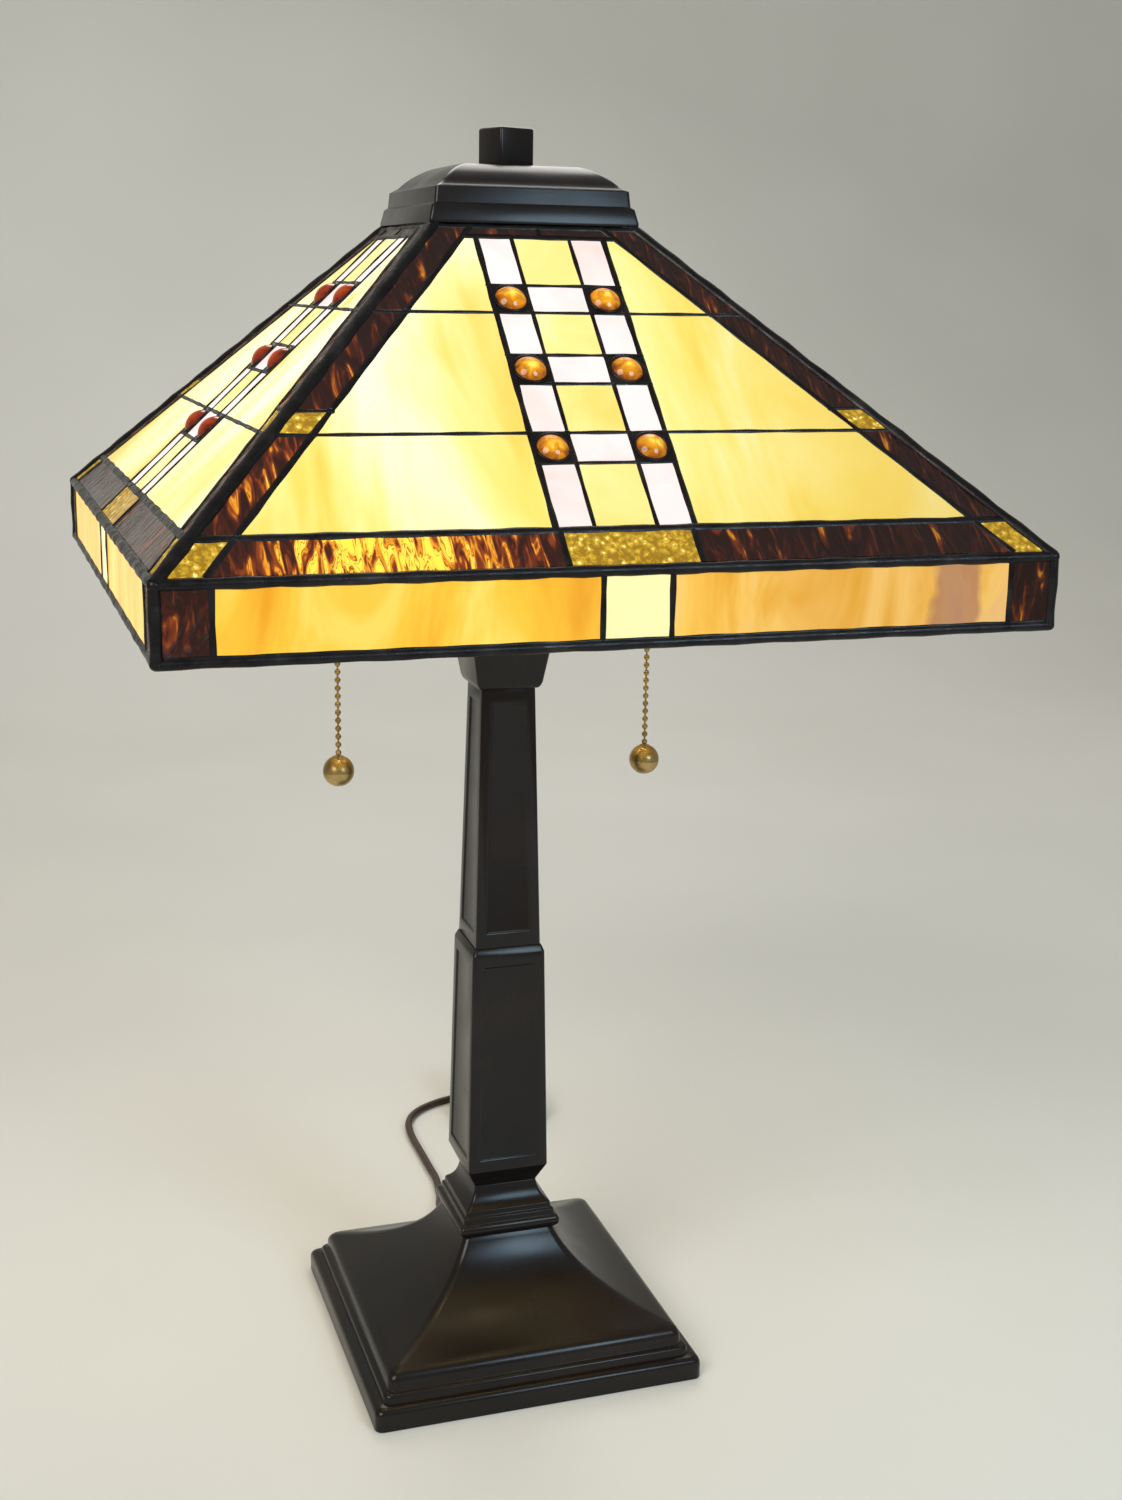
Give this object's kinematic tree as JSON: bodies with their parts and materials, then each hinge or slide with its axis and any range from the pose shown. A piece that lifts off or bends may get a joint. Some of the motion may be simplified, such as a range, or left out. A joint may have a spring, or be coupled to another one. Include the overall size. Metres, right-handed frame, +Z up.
{
  "type": "table lamp",
  "caption": "Table lamp with a square pyramid leaded glass shade and upright skirt on a square tapered column, two pull-chain sockets and a mains cord.",
  "frame": {"origin": "middle of the base on the table", "axes": "+Z up along the column; -Y is the front, +Y the side where the cord leaves the base"},
  "size_m": [0.4062, 0.5242, 0.652],
  "materials": {
    "bronze": "dark bronze paint over zinc casting, satin",
    "iron": "rough casting",
    "felt": "green felt",
    "zinc_steel": "zinc plated",
    "cord_rubber": "brown moulded PVC",
    "brass": "lacquered brass",
    "liner_card": "brown insulating fibre",
    "bakelite": "moulded black phenolic",
    "bulb_glass": "frosted glass",
    "bulb_cap": "bright aluminium",
    "lead": "tin-lead solder with black patina",
    "opal_glass": "opalescent cream and amber glass",
    "white_glass": "opalescent white glass",
    "cream_glass": "opalescent cream glass",
    "jewel_glass": "pressed amber glass, domed",
    "brown_glass": "rippled dark amber cathedral glass",
    "gold_glass": "hammered gold cathedral glass",
    "amber_skirt_glass": "mottled amber opalescent glass"
  },
  "bodies": {
    "stand": {"base_shell": "bronze", "base_weight": "iron", "base_felt": "felt", "column_foot": "bronze", "lower_column": "bronze", "upper_column": "bronze", "column_capital": "bronze", "center_pipe": "zinc_steel", "bottom_washer": "zinc_steel", "bottom_nut": "zinc_steel", "cord_bushing": "cord_rubber", "inner_cord": "cord_rubber", "cluster_body": "bronze", "left_arm": "bronze", "right_arm": "bronze", "riser_stem": "bronze", "seat_nut": "brass", "left_socket_cap": "brass", "right_socket_cap": "brass", "left_socket_shell": "brass", "right_socket_shell": "brass", "socket_liners": "liner_card", "switch_cores": "bakelite", "screw_shells": "brass", "center_contacts": "brass", "bell_mouths": "brass", "power_cord_run": "cord_rubber", "power_cord_coil": "cord_rubber", "plug_body": "cord_rubber", "plug_blades": "brass"},
    "left_bulb": {"left_bulb_glass": "bulb_glass", "left_bulb_base": "bulb_cap"},
    "right_bulb": {"right_bulb_glass": "bulb_glass", "right_bulb_base": "bulb_cap"},
    "left_pull": {"left_pull_link": "brass"},
    "right_pull": {"right_pull_link": "brass"},
    "left_chain": {"left_pull_chain": "brass", "left_pull_ball": "brass"},
    "right_chain": {"right_pull_chain": "brass", "right_pull_ball": "brass"},
    "shade": {"front_slope_lead": "lead", "right_slope_lead": "lead", "back_slope_lead": "lead", "left_slope_lead": "lead", "front_skirt_lead": "lead", "right_skirt_lead": "lead", "back_skirt_lead": "lead", "left_skirt_lead": "lead", "ridge_solder": "lead", "rim_bead": "lead", "opal_panels": "opal_glass", "white_tiles": "white_glass", "cream_tiles": "cream_glass", "amber_jewels": "jewel_glass", "brown_glass": "brown_glass", "gold_glass": "gold_glass", "skirt_amber_glass": "amber_skirt_glass", "shade_top_plate": "brass", "shade_cap": "bronze"},
    "finial": {"finial": "bronze"}
  },
  "joints": [
    {"name": "left_switch_pull", "type": "slide", "parent": "stand", "child": "left_pull", "axis": [0, 0, -1], "range_m": [0, 0.012], "stiffness_N_per_m": 260, "springref_m": -0.003},
    {"name": "left_chain_swing", "type": "hinge", "parent": "left_pull", "child": "left_chain", "pos_m": [-0.08547, 0.00999, 0.4265], "axis": [0, 1, 0], "range_deg": [-20, 20]},
    {"name": "left_bulb_turn", "type": "hinge", "parent": "stand", "child": "left_bulb", "pos_m": [-0.067, 0, 0.456], "axis": [0, 0, 1], "continuous": true},
    {"name": "right_switch_pull", "type": "slide", "parent": "stand", "child": "right_pull", "axis": [0, 0, -1], "range_m": [0, 0.012], "stiffness_N_per_m": 260, "springref_m": -0.003},
    {"name": "right_chain_swing", "type": "hinge", "parent": "right_pull", "child": "right_chain", "pos_m": [0.08547, 0.00999, 0.4265], "axis": [0, 1, 0], "range_deg": [-20, 20]},
    {"name": "right_bulb_turn", "type": "hinge", "parent": "stand", "child": "right_bulb", "pos_m": [0.067, 0, 0.456], "axis": [0, 0, 1], "continuous": true},
    {"name": "shade_turn", "type": "hinge", "parent": "stand", "child": "shade", "pos_m": [0, 0, 0.605], "axis": [0, 0, 1], "continuous": true},
    {"name": "finial_turn", "type": "hinge", "parent": "stand", "child": "finial", "pos_m": [0, 0, 0.633], "axis": [0, 0, 1], "continuous": true}
  ]
}
